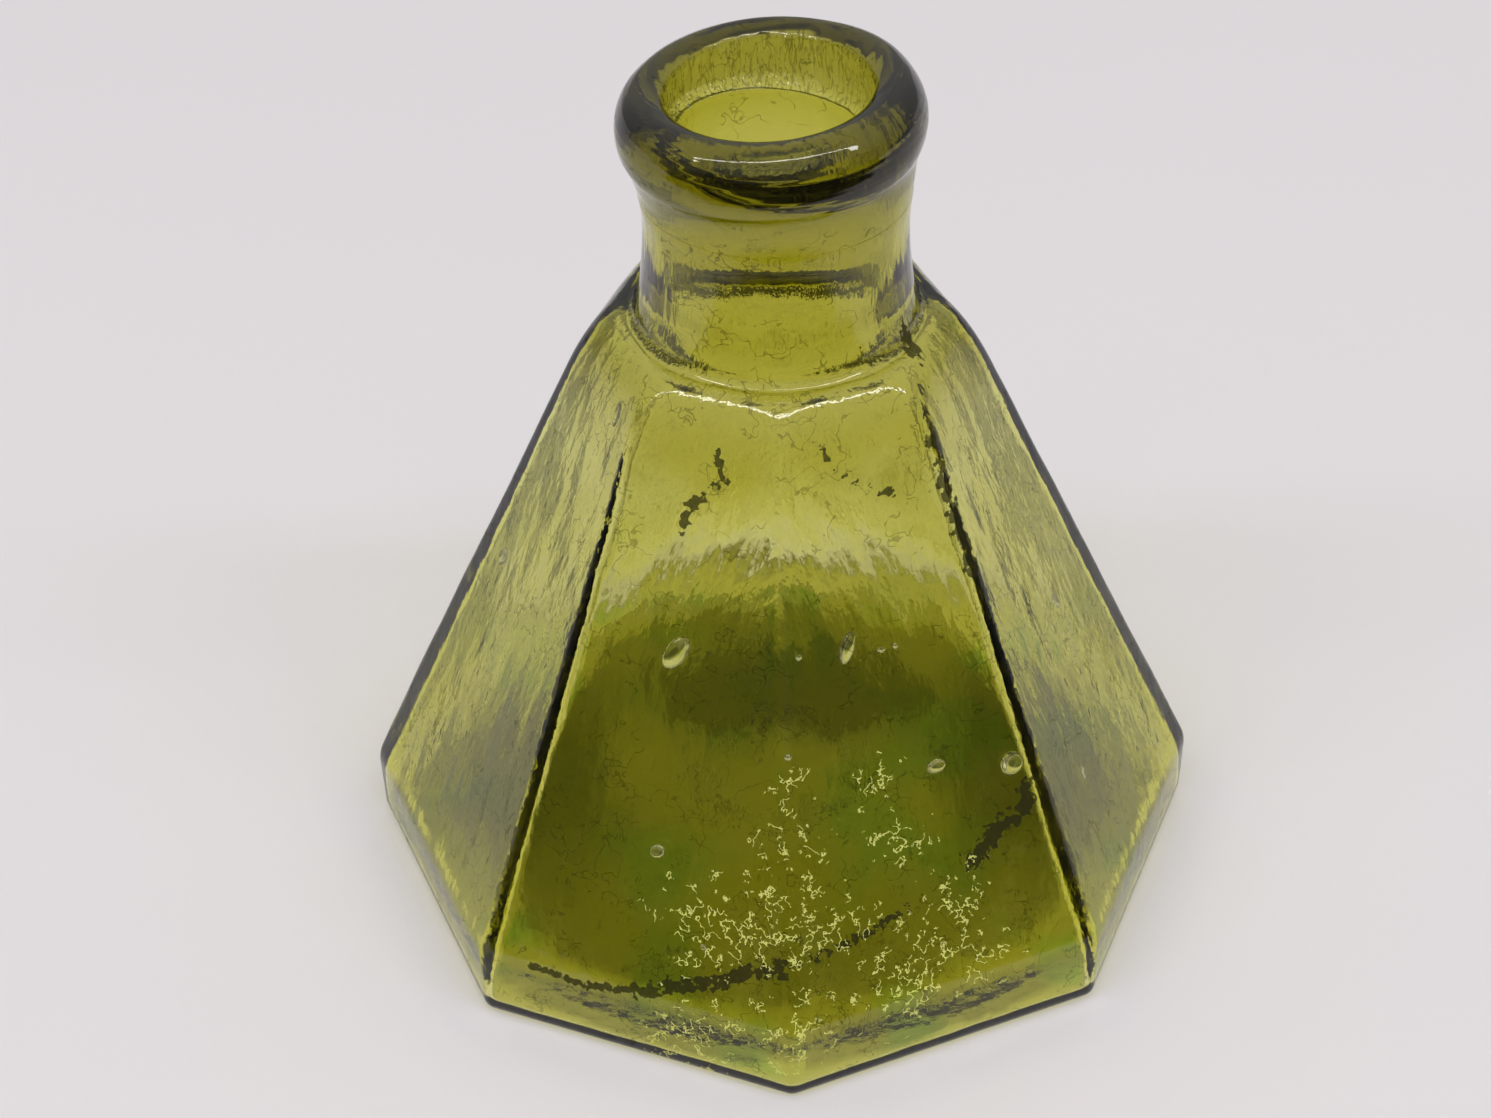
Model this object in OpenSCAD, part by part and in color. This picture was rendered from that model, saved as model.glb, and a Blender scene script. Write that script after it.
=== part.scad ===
// Umbrella ink bottle: an eight-sided tapering body of blown glass with a short neck,
// a ring of glass laid round the mouth, and the scar of the pontil rod under the base.
// Millimetres, +Z up, origin at the middle of the base, one body corner on each of X and Y.

/* [Body] */
// Width over two opposite corners of the base
width_over_corners = 60; // [56:0.5:64]
// Height of the upright band above the base
skirt_h = 5.8; // [4:0.2:8]
// Height at which the flat panels end and the round shoulder begins
shoulder_z = 40; // [38:0.5:42]
// Distance from the axis to a corner where the shoulder begins
shoulder_r = 14.35; // [13.6:0.05:15.2]
// Rounding of the outside corners
corner_r = 1; // [0.8:0.1:2]
// Glass thickness at the corners, at the top of the panels
wall = 1.15; // [0.9:0.05:2.4]
// The same at the foot of the panels
low_wall = 2.2; // [1:0.1:2.6]
// The same at the base
foot_wall = 0.9; // [0.8:0.1:1.4]
// Rounding of the inside corners
inner_corner_r = 1.4; // [1:0.1:4]

/* [Base] */
// Thickness of the glass at the floor's edge
floor_t = 0.9; // [0.8:0.1:2]
// Radius of the rise in the middle of the floor
inner_push_r = 24.5; // [20:0.5:24.5]
// Height of that rise
inner_push_h = 3.6; // [2.4:0.2:4.4]
// Radius of the hollow pushed up into the base
push_up_r = 19; // [15:0.5:21]
// Depth of that hollow at the middle
push_up_h = 2.2; // [1.4:0.2:3]
// Radius of the pontil scar, at the middle of its ridge
scar_r = 5.6; // [4:0.2:8]

/* [Neck] */
// Outside radius of the neck at its waist
neck_r = 8.75; // [8.4:0.05:9]
// Outside radius of the neck where it leaves the shoulder
neck_foot_r = 9.37; // [9:0.01:9.6]
// Bore radius at the neck's top end, where a stopper seats
bore_r = 6.35; // [5.6:0.05:6.6]
// Bore radius at the foot of the neck
low_bore_r = 7.2; // [6.6:0.1:7.4]
// Height of the neck's top end, inside the lip
neck_top_z = 57.3; // [56.9:0.1:57.7]

/* [Lip] */
// Outside radius of the lip
lip_r = 10; // [9.4:0.1:10.6]
// Height of the middle of the lip
lip_z = 58.75; // [58.5:0.05:59]
// Half the height of the lip
lip_half_h = 2.88; // [2.7:0.02:3.1]
// Radius of the mouth at the crisp inner edge of the lip
mouth_r = 6.7; // [6.5:0.1:7]
// Widest radius inside the lip, where the funnel begins to narrow
knee_r = 6.85; // [6.7:0.05:7]
// Sideways lean of the lip, which was laid on by hand
lip_lean = 3; // [0:0.5:4]

/* [Hidden] */
olive = [0.50, 0.52, 0.10, 0.6];
dark_olive = [0.34, 0.36, 0.08, 0.8];

SIDES = 8;
THIN = 0.01;                          // height of one cross-section in a hull
ARC_STEPS = 8;                        // sections in a rounded stretch
base_r = width_over_corners / 2;
taper = (base_r - shoulder_r) / (shoulder_z - skirt_h);
edge_round = 1.1;                     // rounding of the base's lower edge
neck_root_z = 44.55;                  // height where the shoulder meets the neck
neck_root_r = 9.7;
neck_waist_z = 51.5;                  // height where the neck is narrowest
shoulder_pull = 5.3;                  // height over which the shoulder keeps the panels' slope
inner_neck_z = 46.8;                  // height where the hollow has narrowed to the bore
taper_z = [48.2, 52.3];               // the bore narrows between these, and is straight above them
knee_z = 58.4;                        // height where the funnel begins to narrow
inner_edge_round = 0.4;               // rounding where the hollow's side meets its floor
lip_crest_r = 7.93;                   // radius of the lip's highest ring
ledge_w = 0.05;                       // width of the ledge where the funnel meets the bore
lip_shift = -0.22;                    // the lip sits slightly off the neck's axis
base_shrink = 0.09;                   // the upright band narrows this much towards its foot

// Points of an elliptical arc about [cx, cy], from angle a0 to a1
function arc(cx, cy, rx, ry, a0, a1, n) =
    [for (i = [0:n]) let (a = a0 + (a1 - a0) * i / n) [cx + rx * cos(a), cy + ry * sin(a)]];

// A point of the quadratic curve through a and c, drawn towards b
function curve(a, b, c, t) = (1 - t) * (1 - t) * a + 2 * t * (1 - t) * b + t * t * c;

// Radius to the shoulder's corner against height: it leaves the panels in line with them
shoulder_ends = [[shoulder_r, shoulder_z],
                 [shoulder_r - taper * shoulder_pull, shoulder_z + shoulder_pull],
                 [neck_root_r, neck_root_z]];
function shoulder_point(t) = curve(shoulder_ends[0], shoulder_ends[1], shoulder_ends[2], t);

// The same curve on the inside of the glass, which is as thick there as in the panels
function shoulder_inside(t) =
    let (along = (1 - t) * (shoulder_ends[1] - shoulder_ends[0]) + t * (shoulder_ends[2] - shoulder_ends[1]))
    shoulder_point(t) - wall * cos(atan(taper)) * [along[1], -along[0]] / norm(along);

// Radius of the sphere whose cap has this width and height
function cap_sphere_r(r, h) = (r * r + h * h) / (2 * h);

// One thin eight-sided section, r to its rounded corners
module section(z, r, rounding) {
    for (i = [0:SIDES - 1])
        rotate([0, 0, i * 360 / SIDES])
            translate([r - rounding, 0, z])
                cylinder(r = rounding, h = THIN, $fn = 32);
}

// A round section
module disc(z, r) {
    translate([0, 0, z]) cylinder(r = r, h = THIN, $fn = 64);
}

// The body without its hollow: skirt, panels and shoulder, all convex
module body_outside() {
    hull() {
        for (p = arc(base_r - base_shrink - edge_round, edge_round, edge_round, edge_round, -90, 0, 4))
            section(p[1], p[0], corner_r);
        section(skirt_h - 0.5, base_r, corner_r);
        section(skirt_h + 0.4, base_r - taper * 0.9, corner_r);
        for (i = [0:ARC_STEPS - 1]) {
            t = i / ARC_STEPS;
            p = shoulder_point(t);
            section(p[1], p[0], corner_r + (p[0] - corner_r) * t * t);
        }
        disc(neck_root_z - THIN, neck_root_r);
    }
}

// The hollow that holds the ink, with rounder corners than the outside
module hollow() {
    inside_r = base_r - foot_wall;
    hull() {
        for (p = arc(inside_r - inner_edge_round, floor_t + inner_edge_round,
                     inner_edge_round, inner_edge_round, -90, 0, 4))
            section(p[1], p[0], inner_corner_r);
        section(skirt_h - 0.25, base_r - low_wall, inner_corner_r);
        for (i = [0:ARC_STEPS - 1]) {
            t = i / ARC_STEPS;
            p = shoulder_inside(t);
            section(p[1], p[0], inner_corner_r + (p[0] - inner_corner_r) * t * t);
        }
    }
}

// The bore of the neck, flaring at its foot into the hollow
module bore() {
    ceiling = shoulder_inside(0.85);
    rotate_extrude($fn = 96) polygon(concat(
        [[0, ceiling[1] - 0.8], [ceiling[0] - 1.1, ceiling[1] - 0.8]],
        [for (i = [2:8]) curve(ceiling, [low_bore_r + 0.1, ceiling[1] + 0.25], [low_bore_r, inner_neck_z], i / 8)],
        [[low_bore_r, taper_z[0]], [bore_r, taper_z[1]], [bore_r, neck_top_z + 1], [0, neck_top_z + 1]]));
}

// The dome in the base: a cap of a large sphere, raised by lift
module dome(lift, r, h, fn = 128) {
    sphere_r = cap_sphere_r(r, h);
    translate([0, 0, lift + h - sphere_r]) sphere(r = sphere_r, $fn = fn);
}

// The neck: a small fillet on the shoulder, then drawn in to its waist
module neck_outside() {
    fillet = 0.8;
    fillet_z = neck_root_z + fillet * sin(60);
    foot_r = neck_foot_r + fillet * (1 + cos(240));   // the fillet stops where it meets the shoulder
    rotate_extrude($fn = 96) polygon(concat(
        [[bore_r - 1, neck_root_z - 1], [foot_r, neck_root_z - 1]],
        arc(neck_foot_r + fillet, fillet_z, fillet, fillet, 240, 180, 4),
        [for (i = [1:5]) curve([neck_foot_r, fillet_z], [neck_r + 0.1, fillet_z + 2.6],
                               [neck_r, neck_waist_z], i / 5)],
        [[neck_r, neck_top_z], [bore_r - 1, neck_top_z]]));
}

module body_shell() {
    color(olive) difference() {
        union() {
            body_outside();
            neck_outside();
        }
        difference() {
            hollow();
            dome(floor_t, inner_push_r, inner_push_h);
        }
        dome(0, push_up_r, push_up_h);
        bore();
    }
}

// Half section of the lip: round outside, drawn out below into a skirt that hugs the neck
module lip_section() {
    polygon(concat(
        [[mouth_r - 1, neck_top_z - 1.4], [neck_r - 0.6, neck_top_z - 2.3], [neck_r + 0.25, lip_z - 4.1]],
        arc(lip_crest_r, lip_z, lip_r - lip_crest_r, lip_half_h, -55, 90, 14),
        // nearly flat from the crest in to the crisp edge of the mouth
        [[7.4, lip_z + lip_half_h - 0.12], [7, lip_z + lip_half_h - 0.34],
         [mouth_r - 0.1, lip_z + lip_half_h - 0.64], [mouth_r - 1, lip_z + lip_half_h - 0.9]]));
}

module lip_ring() {
    color(dark_olive) difference() {
        translate([lip_shift, 0, lip_z])
            rotate([0, -lip_lean, 0])
                translate([0, 0, -lip_z])
                    rotate_extrude($fn = 96) lip_section();
        // socket over the neck's end
        translate([0, 0, neck_top_z - 10]) cylinder(r = neck_r, h = 10, $fn = 96);
        // mouth: upright, then a funnel that closes in to just over the bore at the neck's end
        rotate_extrude($fn = 96) polygon([
            [0, neck_top_z - 0.5], [bore_r + ledge_w, neck_top_z - 0.5], [bore_r + ledge_w, neck_top_z],
            [knee_r, knee_z], [mouth_r, lip_z + lip_half_h - 0.6], [mouth_r, lip_z + lip_half_h + 1],
            [0, lip_z + lip_half_h + 1]]);
    }
}

// The rough ring that the pontil rod leaves, standing on the dome under the base
module pontil_scar() {
    ridge = 0.75;
    lumps = [[20, 0.2, 1.1], [140, -0.25, 1.25], [255, 0.3, 1.0]];  // angle, offset outwards, radius
    dome_z = push_up_h - scar_r * scar_r / (2 * cap_sphere_r(push_up_r, push_up_h));
    color(olive) intersection() {
        union() {
            translate([0, 0, dome_z])
                rotate_extrude($fn = 96) translate([scar_r, 0]) circle(r = ridge, $fn = 48);
            // lumps where the glass tore
            for (p = lumps)
                rotate([0, 0, p[0]])
                    translate([scar_r + p[1], 0, dome_z]) sphere(r = p[2], $fn = 48);
        }
        dome(0, push_up_r, push_up_h, 360);
    }
}

body_shell();
lip_ring();
pontil_scar();
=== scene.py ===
"""An empty eight-sided ink bottle of olive-green blown glass, on a pale floor.

Three pieces of finer glass stand for the three CAD nodes: the body with its wavy walls and bubbles, the
ring of glass laid on as a lip, and the pontil scar. Lengths in the shape code are millimetres, as in the
CAD source, and are turned to metres when a mesh is made.
"""
import math

import bmesh
import bpy
import numpy as np
from mathutils import Matrix, Vector


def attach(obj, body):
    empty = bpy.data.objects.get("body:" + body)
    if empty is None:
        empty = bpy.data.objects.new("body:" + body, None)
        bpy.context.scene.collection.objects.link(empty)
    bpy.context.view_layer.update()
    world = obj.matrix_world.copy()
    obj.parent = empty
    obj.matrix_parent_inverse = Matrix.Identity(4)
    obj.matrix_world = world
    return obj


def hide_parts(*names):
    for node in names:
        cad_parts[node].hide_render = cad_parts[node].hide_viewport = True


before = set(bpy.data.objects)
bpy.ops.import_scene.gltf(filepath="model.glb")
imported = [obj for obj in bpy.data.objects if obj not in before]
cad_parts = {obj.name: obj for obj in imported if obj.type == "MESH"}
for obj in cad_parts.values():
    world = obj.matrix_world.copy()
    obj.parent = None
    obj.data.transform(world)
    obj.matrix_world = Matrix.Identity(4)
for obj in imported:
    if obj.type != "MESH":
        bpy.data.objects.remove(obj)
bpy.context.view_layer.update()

# ------------------------------------------------------------------ sizes (mm), most as in the CAD source
SIDES = 8
SECTOR = 2 * math.pi / SIDES

BASE_R = 30.0                    # to a corner
BASE_SHRINK = 0.09               # the skirt narrows this much towards its foot
EDGE_ROUND = 1.1                 # rounding of the base's lower edge
FOOT_R = BASE_R - BASE_SHRINK - EDGE_ROUND
SKIRT_H = 5.8
BEND_FROM, BEND_PULL, BEND_TO = SKIRT_H - 0.6, SKIRT_H + 0.1, SKIRT_H + 0.9    # heights of its top bend
CORNER_R = 1.0                   # rounding of the outside corners
SHOULDER_Z, SHOULDER_R = 40.0, 14.35
TAPER = (BASE_R - SHOULDER_R) / (SHOULDER_Z - SKIRT_H)
SHOULDER_PULL = 5.3              # height over which the shoulder keeps the panels' slope
SHOULDER_TOP = 0.9               # share of its curve that shows below the neck
SHOULDER_ROUNDING = 2.6          # how late the eight sides give way to the round neck

PUSH_UP_R, PUSH_UP_H = 19.0, 2.2
SCAR_R = 5.6
FLAT_STEPS = (0.25, 0.5, 0.75)   # across the ring that the bottle stands on
POLE_R = 1.2                     # of the smallest ring round the middle of a dome

WALL, LOW_WALL, FOOT_WALL = 1.15, 2.2, 0.9      # at the corners: top and foot of the panels, and the base
INNER_CORNER_R = 1.4
INNER_EDGE_ROUND = 0.4
INNER_BEND_Z = SKIRT_H - 0.25    # the wall bends inside a little lower than outside
INNER_BEND_RISE = 0.9            # height of that bend above its middle
INNER_BEND_END = (0.21, -0.7)    # and its end below it: outwards, up
FLOOR_T = 0.9                    # at the edge; the glass of the floor is thicker towards the middle
FLOOR_STEPS = (0.35, 0.7)        # from the floor's edge to the rise in its middle
INNER_PUSH_R, INNER_PUSH_H = 24.5, 3.6
FINE_FLOOR_R = 20.5              # outside this the floor's rings are close together, for the edge of the painted shade
UNDER_STEPS = np.linspace(0.85, 0, 18)          # down the curve on the shoulder's underside
BACK_SAG = 1.4                   # how much thicker the shoulder is at the back
SAG_BEHIND, SAG_ABOVE = (0, 7), (41, 43.2)      # where that begins and is full, along y and z

NECK_ROOT_Z, NECK_ROOT_R = 44.55, 9.7
NECK_FILLET = 1.3
NECK_FOOT_Z, NECK_FOOT_R = 45.24, 9.37
NECK_WAIST_Z, NECK_R = 51.7, 8.77
NECK_TOP_Z = 57.3
BORE_R = 6.2                     # at its narrowest, where the funnel of the mouth ends
LOW_BORE_R = 7.2                 # just above the hollow
BORE_WIDENS = (-2.5, 8)          # depths below the neck's end between which it does
INNER_NECK_Z = 46.8              # the bore opens into the hollow below this height
THROAT_PULL = (0.1, 0.25)        # how its curve into the hollow is drawn: outwards, up
THROAT_SIDES = (0.4, 1)          # shares of that curve between which the eight sides come in
LEDGE_SLANT = math.radians(5)    # the neck's end, a ledge inside the mouth, is higher on the left
SLANT_DEPTH = 3                  # the slant fades out this far below the neck's end

LIP_R, LIP_CREST_R, LIP_Z, LIP_HALF_H = 10.0, 7.93, 58.75, 2.88
LIP_LEAN, LIP_SHIFT = math.radians(3), -0.22
HEM_R, HEM_Z = 8.93, 54.0        # where the lip's glass ends on the neck
HEM_SKIN = 0.015                 # thickness of its edge there
HEM_LEAN = 0.1                   # and the edge's share of the lip's lean
SOCKET_END_Z = HEM_Z + 0.1
LEAN_FULL_Z = 56.4               # the outside follows the neck at the hem, and leans fully from here up
HEM_FLARE = [                    # from the hem up to the ring: outwards, up
    (0.016, 0.04), (0.018, 0.08), (0.06, 0.5), (0.11, 1.0), (0.21, 1.5), (0.34, 2.1), (0.49, 2.6)]
CREST_TO_MOUTH = [               # radius, and how far below the crest
    (7.7, 0.03), (7.4, 0.11), (7.1, 0.26), (6.88, 0.42), (6.76, 0.56), (6.7, 0.72)]
FUNNEL_KNEE = (6.85, 58.4)       # above this the mouth is upright, and below it narrows
LEDGE_W = 0.05                   # width of the neck's end that shows inside the funnel

SEAM_GAP = 0.01                  # between two gathers of glass that are fused in the real bottle
FLOOR_GAP = 0.03                 # air under the base


# ------------------------------------------------------------------ noise and curves
NOISE_SHIFT = 31.7               # keeps the axis off the corner of a cell, where noise is always 0
NOISE_GAIN = 1.6                 # brings it to about -1 to 1


def noise(points, scale, seed):
    """Smooth gradient noise, about -1 to 1. scale is the size of a feature along x, y and z."""
    rng = np.random.default_rng(seed)
    slopes = rng.normal(size=(256, 3))
    slopes /= np.linalg.norm(slopes, axis=1, keepdims=True)
    table = rng.permutation(256)
    p = np.asarray(points, float) / np.asarray(scale, float) + NOISE_SHIFT
    cell = np.floor(p).astype(int)
    f = p - cell
    w = f * f * f * (f * (f * 6 - 15) + 10)
    total = np.zeros(p.shape[:-1])
    for corner in np.ndindex(2, 2, 2):
        c = np.array(corner)
        i = cell + c
        h = table[(table[(table[i[..., 0] % 256] + i[..., 1]) % 256] + i[..., 2]) % 256]
        weight = np.prod(np.where(c == 1, w, 1 - w), axis=-1)
        total += weight * np.sum(slopes[h] * (f - c), axis=-1)
    return total * NOISE_GAIN


def waves(points, layers):
    """Layers of noise added up, each given as its strength, the size of a feature and a seed."""
    return sum(strength * noise(points, scale, seed) for strength, scale, seed in layers)


def smoothstep(x, a, b):
    t = np.clip((x - a) / (b - a), 0, 1)
    return t * t * (3 - 2 * t)


def between(a, b, t):
    return a + (b - a) * t


def steps(n):
    """n even steps that lead from 0 to 1, without the 0."""
    return np.linspace(0, 1, n + 1)[1:]


def curve(a, b, c, t):
    """A point of the quadratic curve from a to c, drawn towards b."""
    return (1 - t) ** 2 * a + 2 * t * (1 - t) * b + t * t * c


def arc(cx, cy, radius, radius_up, a0, a1, n):
    """n points of an elliptical arc, from a0 to a1 in degrees."""
    a = np.radians(np.linspace(a0, a1, n))
    return np.stack([cx + radius * np.cos(a), cy + radius_up * np.sin(a)], -1)


def dome_height(r, dome_r, dome_h):
    """Height at radius r of a cap of a sphere."""
    sphere_r = (dome_r ** 2 + dome_h ** 2) / (2 * dome_h)
    return dome_h - sphere_r + np.sqrt(sphere_r * sphere_r - r * r)


# ------------------------------------------------------------------ body: its outline, seen from above
def column_angles():
    """Angles of the mesh columns: close together over the rounded corners, wider over the panels."""
    half = np.concatenate([np.linspace(0, 2.4, 8), [3.1, 4.1, 5.4], np.linspace(6.9, 22.5, 12)])
    sector = np.radians(np.concatenate([-half[:0:-1], half]))[1:]
    return np.concatenate([sector + k * SECTOR for k in range(SIDES)])


THETA = column_angles()
COLUMNS = len(THETA)
FROM_CORNER = (THETA + SECTOR / 2) % SECTOR - SECTOR / 2


def outline(r, c):
    """Distance of each column from the axis, round an octagon with corners at r, rounded to radius c."""
    if c > r - 1e-6:
        return np.full(COLUMNS, r)
    half = SECTOR / 2
    phi = np.abs(FROM_CORNER)
    flat = ((r - c) * math.cos(half) + c) / np.cos(half - phi)
    touch = np.arctan2(c * math.sin(half), (r - c) + c * math.cos(half))
    under = np.maximum(c * c - ((r - c) * np.sin(phi)) ** 2, 0)
    return np.where(phi < touch, (r - c) * np.cos(phi) + np.sqrt(under), flat)


# ------------------------------------------------------------------ body: its rows, rings round the axis
def shoulder(t, inset=0.0):
    """Radius and height at the corner, up the shoulder's curve, or that far under it."""
    a = np.array([SHOULDER_R, SHOULDER_Z])
    b = np.array([SHOULDER_R - TAPER * SHOULDER_PULL, SHOULDER_Z + SHOULDER_PULL])
    c = np.array([NECK_ROOT_R, NECK_ROOT_Z])
    along = (1 - t) * (b - a) + t * (c - b)
    outwards = np.array([along[1], -along[0]]) / np.linalg.norm(along)
    return curve(a, b, c, t) - inset * outwards


def shoulder_row(r, z, t, corner, kind):
    """A row on or under the shoulder, rounder the higher it is up the curve."""
    return r, between(corner, r, t ** SHOULDER_ROUNDING), z, kind


def neck_radius(z):
    """The neck is drawn in to its waist and opens a little again under the lip."""
    if z < NECK_WAIST_Z:
        return between(NECK_R, NECK_FOOT_R, ((NECK_WAIST_Z - z) / (NECK_WAIST_Z - NECK_FOOT_Z)) ** 2)
    return between(NECK_R, HEM_R, min((z - NECK_WAIST_Z) / (HEM_Z - NECK_WAIST_Z), 1) ** 1.5)


def bore_radius(z):
    return between(BORE_R, LOW_BORE_R, smoothstep(NECK_TOP_Z - z, *BORE_WIDENS))


def rings(kind, points, corner=None):
    """Rows through points (radius, height), all with the same rounding at the corners, or round."""
    return [(r, r if corner is None else corner, z, kind) for r, z in points]


def underside():
    """From the middle out to where the edge turns up. The bottle stands on the flat ring round the dome."""
    radii = np.linspace(POLE_R, PUSH_UP_R, 15)
    rows = rings("under", [(r, dome_height(r, PUSH_UP_R, PUSH_UP_H)) for r in radii])
    for t in FLAT_STEPS:                        # round inside, eight-sided outside
        r = between(PUSH_UP_R, FOOT_R, t)
        rows.append((r, between(r, CORNER_R, smoothstep(t, 0, 1)), 0, "under"))
    return rows


def outside():
    """Up the skirt, the panels, the shoulder and the neck, to the lip's hem."""
    band = [(BASE_R - BASE_SHRINK * (1 - t), between(EDGE_ROUND, BEND_FROM, t)) for t in steps(8)]
    a, b = np.array([BASE_R, BEND_FROM]), np.array([BASE_R, BEND_PULL])
    c = np.array([BASE_R - TAPER * (BEND_TO - SKIRT_H), BEND_TO])
    rows = rings("skirt", arc(FOOT_R, EDGE_ROUND, EDGE_ROUND, EDGE_ROUND, -90, 0, 8), CORNER_R)
    rows += rings("skirt", band + [curve(a, b, c, t) for t in steps(6)], CORNER_R)
    rows += rings("panel", [between(c, (SHOULDER_R, SHOULDER_Z), t) for t in steps(59)[:-1]], CORNER_R)
    rows += [shoulder_row(*shoulder(t), t, CORNER_R, "shoulder") for t in np.linspace(0, SHOULDER_TOP, 17)]
    fillet_z = NECK_ROOT_Z + NECK_FILLET * math.sin(math.radians(60))      # it stops where the shoulder is
    rows += rings("neck", arc(NECK_FOOT_R + NECK_FILLET, fillet_z, NECK_FILLET, NECK_FILLET, 236, 180, 7))
    rows += rings("neck", [(neck_radius(z), z) for z in np.linspace(fillet_z, HEM_Z, 18)[1:-1]])
    return rows


def neck_end():
    """The part of the neck that the lip covers, and the bore down to the hollow."""
    rows = rings("seam", [(HEM_R, z) for z in np.linspace(HEM_Z, NECK_TOP_Z, 6)])
    rows += rings("seam", [(r, NECK_TOP_Z) for r in np.linspace(HEM_R, BORE_R, 6)[1:-1]])
    rows += rings("bore", [(bore_radius(z), z) for z in np.linspace(NECK_TOP_Z, INNER_NECK_Z, 22)])
    return rows


def hollow():
    """Out under the shoulder, down the panels and the skirt, and round to the floor's edge."""
    inset = WALL * math.cos(math.atan(TAPER))
    under = [shoulder(t, inset) for t in UNDER_STEPS]
    r = bore_radius(INNER_NECK_Z)
    a, b, c = np.array([r, INNER_NECK_Z]), np.array([r, under[0][1]]) + THROAT_PULL, under[0]
    corner = between(INNER_CORNER_R, c[0], UNDER_STEPS[0] ** SHOULDER_ROUNDING)
    rows = []
    for t in steps(15)[:-1]:
        r, z = curve(a, b, c, t)
        rows.append((r, between(r, min(corner, r), smoothstep(t, *THROAT_SIDES)), z, "inside"))
    rows += [shoulder_row(*p, t, INNER_CORNER_R, "inside") for p, t in zip(under, UNDER_STEPS)]
    bend = np.array([BASE_R - LOW_WALL, INNER_BEND_Z])
    above = bend + INNER_BEND_RISE * np.array([-TAPER, 1])
    below = bend + INNER_BEND_END
    edge_r, edge_z = BASE_R - FOOT_WALL, FLOOR_T + INNER_EDGE_ROUND
    down = [between(under[-1], above, t) for t in steps(43)]
    down += [curve(above, bend, below, t) for t in steps(5)]
    down += [between(below, (edge_r, edge_z), t) for t in steps(7)]
    down += list(arc(edge_r - INNER_EDGE_ROUND, edge_z, INNER_EDGE_ROUND, INNER_EDGE_ROUND, 0, -90, 9)[1:])
    return rows + rings("inside", down, INNER_CORNER_R)


def floor_inside():
    """From the floor's edge in to its middle, with rings close together where the painted shade on the floor
    ends.
    """
    rows = []
    for t in FLOOR_STEPS:
        r = between(BASE_R - FOOT_WALL - INNER_EDGE_ROUND, INNER_PUSH_R, t)
        rows.append((r, between(INNER_CORNER_R, r, smoothstep(t, 0, 1)), FLOOR_T, "floor"))
    radii = [*np.linspace(INNER_PUSH_R, FINE_FLOOR_R, 14), *np.linspace(FINE_FLOOR_R - 0.5, POLE_R, 17)]
    return rows + rings("floor", [(r, FLOOR_T + dome_height(r, INNER_PUSH_R, INNER_PUSH_H)) for r in radii])


# each row is (radius at the corners, their rounding, height, kind)
ROWS = underside() + outside() + neck_end() + hollow() + floor_inside()
KINDS = np.array([row[3] for row in ROWS])


def ledge_slant(x, z):
    """How much the slant of the neck's end lifts a point."""
    return -math.tan(LEDGE_SLANT) * x * smoothstep(z, NECK_TOP_Z - SLANT_DEPTH, NECK_TOP_Z)


def body_points():
    """Grid of points, rows by columns, of the body before it is made uneven."""
    pts = np.zeros((len(ROWS), COLUMNS, 3))
    for i, (r, c, z, kind) in enumerate(ROWS):
        rho = outline(r, c)
        pts[i] = np.stack([rho * np.cos(THETA), rho * np.sin(THETA), np.full(COLUMNS, z)], -1)
        if kind == "inside":
            pts[i, :, 2] -= BACK_SAG * smoothstep(pts[i, :, 1], *SAG_BEHIND) * smoothstep(z, *SAG_ABOVE)
        if kind in ("seam", "bore"):
            pts[i, :, 2] += ledge_slant(pts[i, :, 0], z)
    return pts


def normals_of(pts):
    """Outward normals of a grid of points that closes round the axis and runs up outside."""
    across = np.roll(pts, -1, axis=1) - np.roll(pts, 1, axis=1)
    normals = np.cross(across, np.gradient(pts, axis=0))
    return normals / np.maximum(np.linalg.norm(normals, axis=-1, keepdims=True), 1e-9)


# unevenness of the glass, as layers for waves(), and the heights between which each comes in or ends
RIPPLES = [(0.045, (3.4, 3.4, 9.0), 3), (0.022, (1.7, 1.7, 4.2), 4), (0.10, (9, 9, 12), 5)]      # outside
RIPPLES_START, RIPPLES_END = (5.6, 9.0), (HEM_Z - 1.5, HEM_Z)
SKIRT_WAVES, SKIRT_START = [(0.03, (4, 4, 3), 6)], (0.6, 2.5)
HOLLOW_WAVES = [(0.08, (6.5, 6.5, 9), 11), (0.06, (2.2, 2.2, 5.5), 12), (0.03, (1.2, 1.2, 2.6), 13)]
HOLLOW_END = (42.5, 45.5)
SIDE_CALM, CALM_FROM = 0.25, (11, 15)           # how much fainter they are far to the left and right
CEILING_WAVES, CEILING_FROM = [(0.16, (1.0, 1.0, 1.6), 15)], (39, 42)
LOW_WAVES, LOW_END = [(0.22, (1.5, 1.5, 2.0), 16)], (2, 5)
BEHIND = (3, 12)                                # those two come in between these, along y
FLOOR_WAVES = [(0.22, (7, 7, 7), 14)]


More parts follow.
